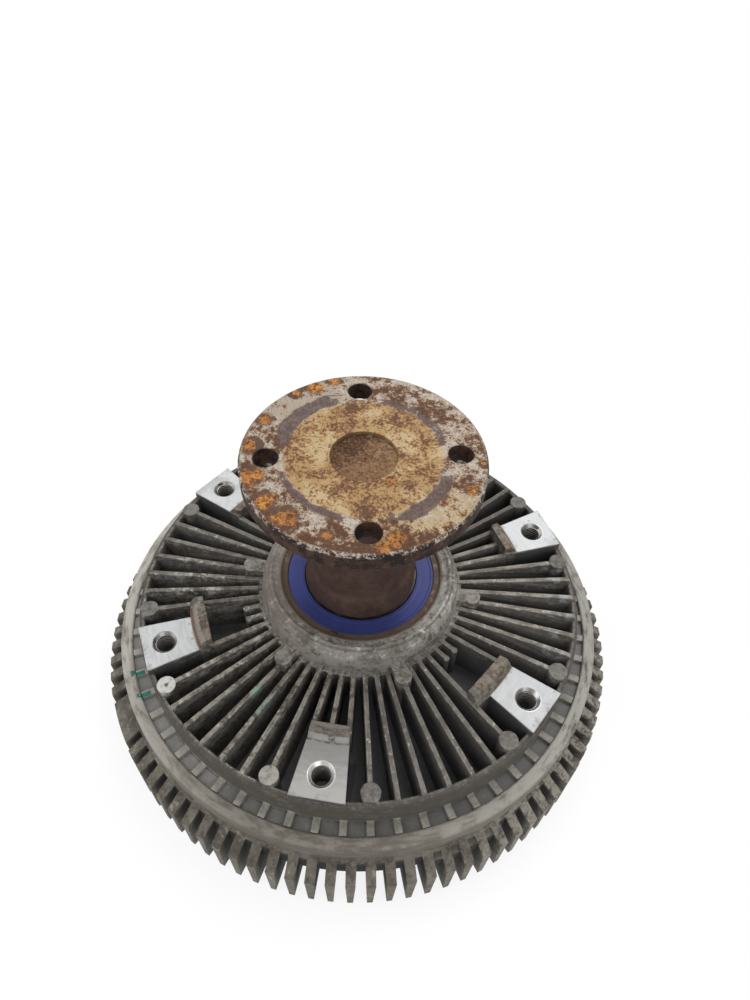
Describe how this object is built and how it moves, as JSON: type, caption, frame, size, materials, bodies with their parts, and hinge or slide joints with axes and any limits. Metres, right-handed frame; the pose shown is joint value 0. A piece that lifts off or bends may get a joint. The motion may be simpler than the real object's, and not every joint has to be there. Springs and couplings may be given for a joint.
{
  "type": "viscous fan clutch",
  "caption": "Viscous fan clutch: finned cast housing and cover round a sealed rotor, bolt-on drive flange on a bearing shaft, fan pads, and a bimetal coil that turns the fluid valve.",
  "frame": {"origin": "on the shaft axis at the tips of the front fins, the plane it rests on", "axes": "+Z along the shaft towards the drive flange, -Y towards one fan pad"},
  "size_m": [0.269, 0.269, 0.1625],
  "materials": {
    "forged_steel": "forged steel, dark and rusty, machined flange face with rust stains",
    "rotor_aluminium": "turned",
    "plain_steel": "plain",
    "bearing_steel": "ground, lightly rusted where it shows",
    "cage_plastic": "moulded",
    "blue_rubber": "glossy",
    "housing_casting": "die cast, dirty, machined pads",
    "cover_casting": "die cast, dirty",
    "black_rubber": "matte",
    "pump_plate_steel": "pressed sheet",
    "wiper_plastic": "moulded",
    "spring_steel": "sheet",
    "bimetal": "rolled strip"
  },
  "bodies": {
    "housing": {"rear_housing": "housing_casting", "front_cover": "cover_casting", "cover_o_ring": "black_rubber", "bearing_outer_ring": "bearing_steel", "bearing_seal_rear": "blue_rubber", "bearing_seal_front": "blue_rubber", "pump_plate": "pump_plate_steel", "plate_screws": "plain_steel", "pump_wiper": "wiper_plastic", "channel_plug": "plain_steel", "bimetal_coil": "bimetal"},
    "drive": {"input_shaft": "forged_steel", "rotor_disc": "rotor_aluminium", "rotor_washer": "plain_steel", "rotor_bolt": "plain_steel", "bearing_inner_ring": "bearing_steel"},
    "balls": {"bearing_balls": "bearing_steel", "bearing_cage": "cage_plastic"},
    "valve": {"valve_shaft": "plain_steel", "valve_arm": "spring_steel", "valve_o_ring": "black_rubber", "valve_clip": "spring_steel"}
  },
  "joints": [
    {"name": "drive_spin", "type": "hinge", "parent": "housing", "child": "drive", "pos_m": [0, 0, 0.0688], "axis": [0, 0, 1], "continuous": true},
    {"name": "cage_spin", "type": "hinge", "parent": "housing", "child": "balls", "pos_m": [0, 0, 0.0688], "axis": [0, 0, 1], "continuous": true},
    {"name": "valve_turn", "type": "hinge", "parent": "housing", "child": "valve", "pos_m": [0, 0, 0.01], "axis": [0, 0, 1], "range_deg": [0, 35], "stiffness_Nm_per_rad": 0.02, "deforming": ["bimetal_coil"]}
  ],
  "couplings": [
    {"joint": "cage_spin", "follows": "drive_spin", "ratio": 0.4023}
  ]
}
